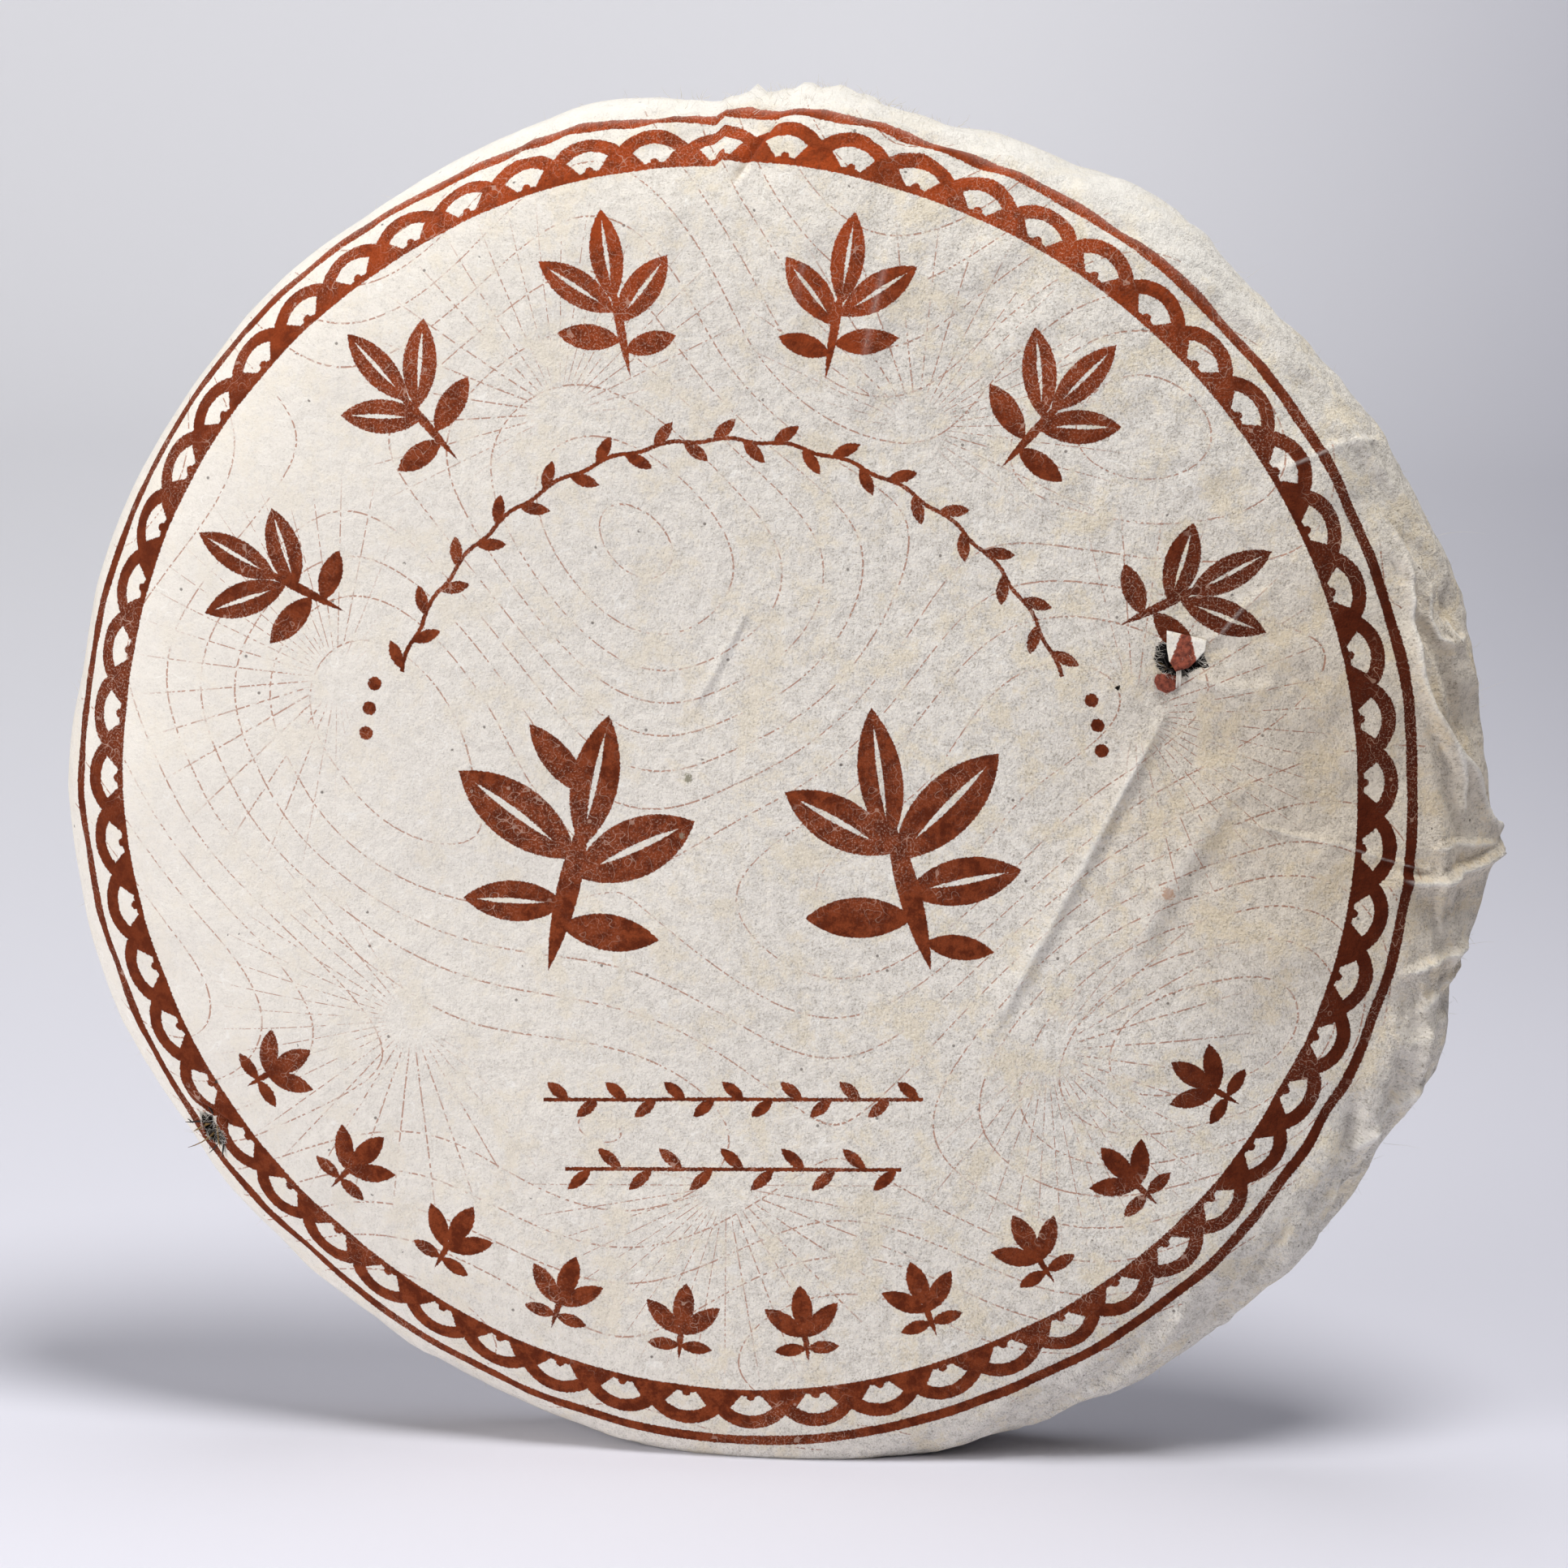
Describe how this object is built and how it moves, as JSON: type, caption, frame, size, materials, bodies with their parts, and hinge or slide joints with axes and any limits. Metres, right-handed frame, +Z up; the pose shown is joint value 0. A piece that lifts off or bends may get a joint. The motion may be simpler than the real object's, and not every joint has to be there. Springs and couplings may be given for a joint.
{
  "type": "pu erh tea cake",
  "caption": "Round cake of pressed dark tea in a printed cotton-paper wrapper, standing on its rim, with torn holes that show the leaf and a pleated, knotted back.",
  "frame": {"origin": "middle of the bounding box at the floor, under the foot of the rim", "axes": "+X to the right as the printed face is seen, -Y out of the printed face, +Z up along the standing disc"},
  "size_m": [0.2012, 0.0282, 0.1924],
  "materials": {
    "paper": "soft uncoated cotton paper, mottled, with a brick-brown print",
    "tea": "rough pressed dark leaf"
  },
  "bodies": {
    "root": {"paper_wrapper": "paper", "tea_cake": "tea"}
  },
  "joints": []
}
